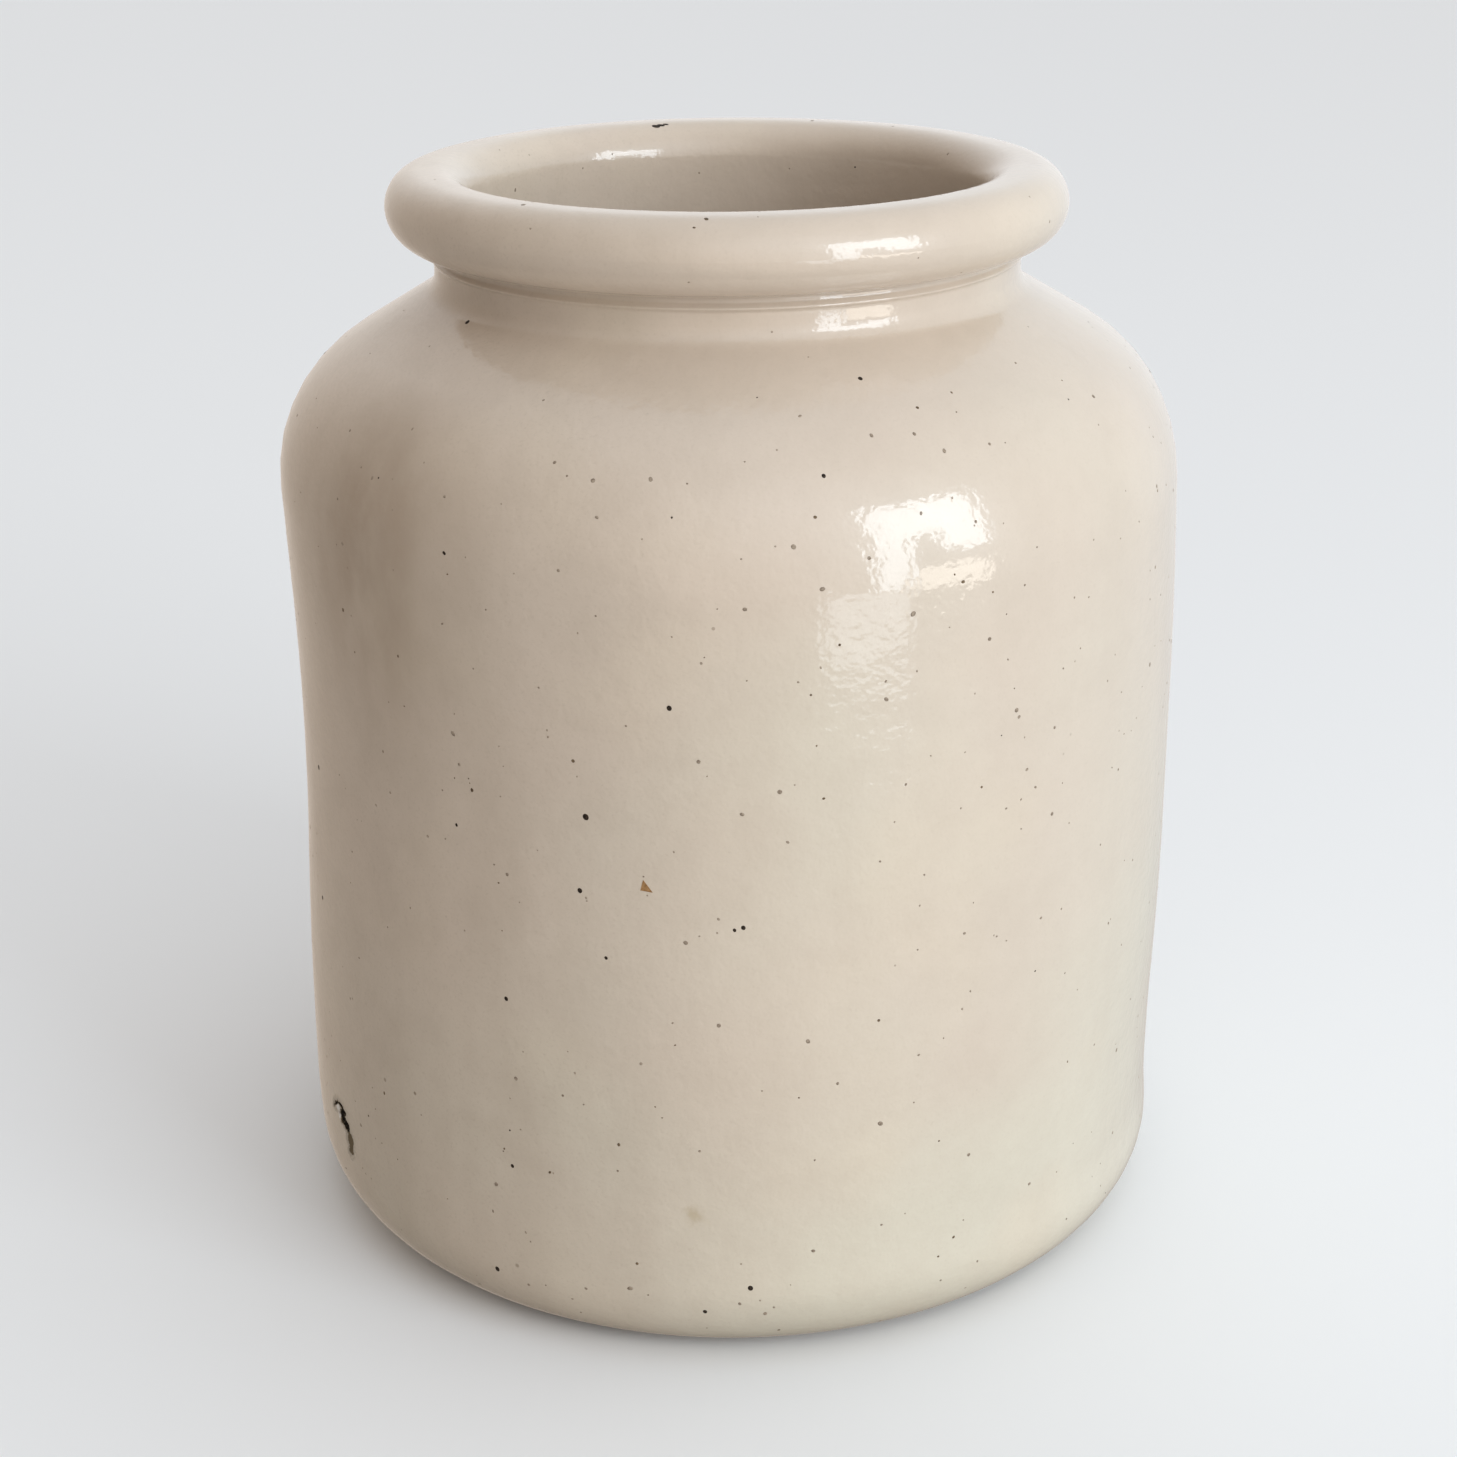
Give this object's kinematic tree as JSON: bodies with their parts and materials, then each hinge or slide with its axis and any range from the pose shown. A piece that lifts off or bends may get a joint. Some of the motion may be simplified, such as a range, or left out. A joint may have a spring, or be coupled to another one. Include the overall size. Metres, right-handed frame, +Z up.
{
  "type": "glazed stoneware crock",
  "caption": "Open glazed stoneware crock with a rounded shoulder, short grooved neck and rolled rim, for fermenting or keeping vegetables, must or vinegar.",
  "frame": {"origin": "centre of the underside, on the plane that the foot stands on", "axes": "+Z up through the mouth, on the axis the crock was turned about; X and Y are alike"},
  "size_m": [0.1998, 0.1998, 0.2374],
  "materials": {
    "fired_clay": "bare fired stoneware, matt and faintly gritty",
    "cream_glaze": "glossy cream glaze with fine iron specks"
  },
  "bodies": {
    "root": {"stoneware_body": "fired_clay", "glaze_coat": "cream_glaze"}
  },
  "joints": []
}
